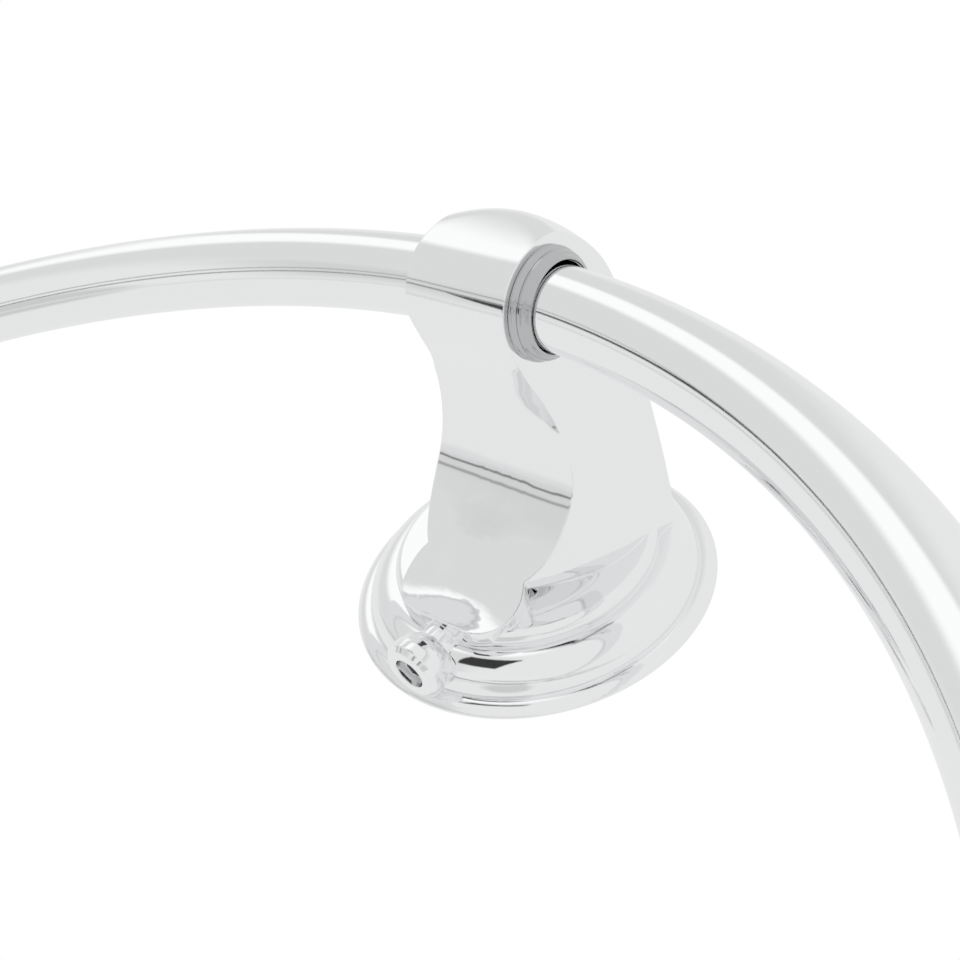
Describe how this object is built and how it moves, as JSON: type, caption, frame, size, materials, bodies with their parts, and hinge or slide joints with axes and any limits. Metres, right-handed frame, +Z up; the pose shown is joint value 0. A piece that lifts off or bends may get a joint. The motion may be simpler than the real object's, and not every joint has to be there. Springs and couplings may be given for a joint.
{
  "type": "towel ring",
  "caption": "Wall-mounted towel ring: a closed round ring hangs through the domed post of a stepped round flange and swings outwards.",
  "frame": {"origin": "centre of the back of the flange and bracket, on the wall face", "axes": "+Y into the wall, +Z up the wall, X along the axis the ring swings on"},
  "size_m": [0.1981, 0.047, 0.2104],
  "materials": {
    "chrome": "polished",
    "bush_grey": "satin",
    "plain_steel": "zinc-plated"
  },
  "bodies": {
    "post_body": {"post": "chrome", "bush_right": "bush_grey", "bush_left": "bush_grey", "set_screw": "plain_steel", "wall_bracket": "plain_steel"},
    "ring_body": {"ring": "chrome"}
  },
  "joints": [
    {"name": "ring_swing", "type": "hinge", "parent": "post_body", "child": "ring_body", "pos_m": [0, -0.0396, 0.0057], "axis": [-1, 0, 0], "range_deg": [-10.5, 190.5]}
  ]
}
